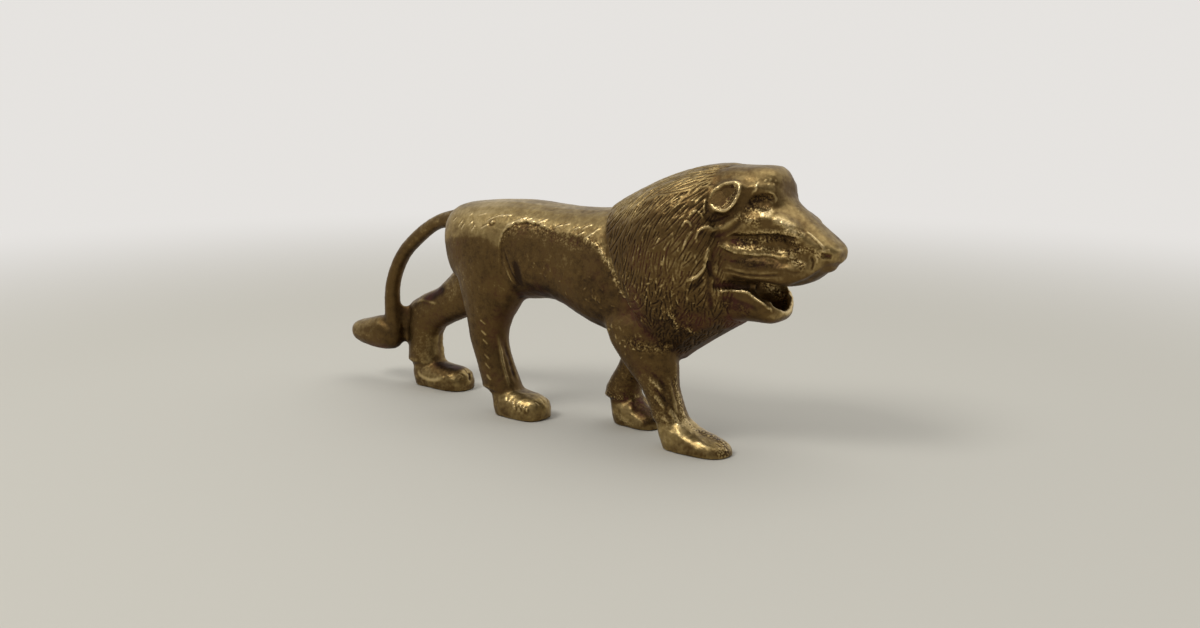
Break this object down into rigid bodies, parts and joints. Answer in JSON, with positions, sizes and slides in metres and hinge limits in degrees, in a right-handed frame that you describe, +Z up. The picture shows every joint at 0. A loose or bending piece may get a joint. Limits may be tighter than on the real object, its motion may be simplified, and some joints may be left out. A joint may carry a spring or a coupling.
{
  "type": "lion figurine",
  "caption": "Small solid brass lion in mid stride with an open mouth, a full mane and a tail that arches down to the hock.",
  "frame": {"origin": "centre of the overall box in plan, at the height of the soles", "axes": "+X forward, from the tail to the nose; +Y the lion's left; +Z up"},
  "size_m": [0.1062, 0.0226, 0.0466],
  "materials": {
    "aged_brass": "aged, semi-gloss, with a dark patina in the recesses"
  },
  "bodies": {
    "root": {"mane": "aged_brass", "head": "aged_brass", "lower_jaw": "aged_brass", "right_ear": "aged_brass", "left_ear": "aged_brass", "torso": "aged_brass", "tail": "aged_brass", "tail_tuft": "aged_brass", "tail_tie": "aged_brass", "right_front_leg": "aged_brass", "right_front_paw": "aged_brass", "left_front_leg": "aged_brass", "left_front_paw": "aged_brass", "right_hind_leg": "aged_brass", "right_hind_paw": "aged_brass", "left_hind_leg": "aged_brass", "left_hind_paw": "aged_brass"}
  },
  "joints": []
}
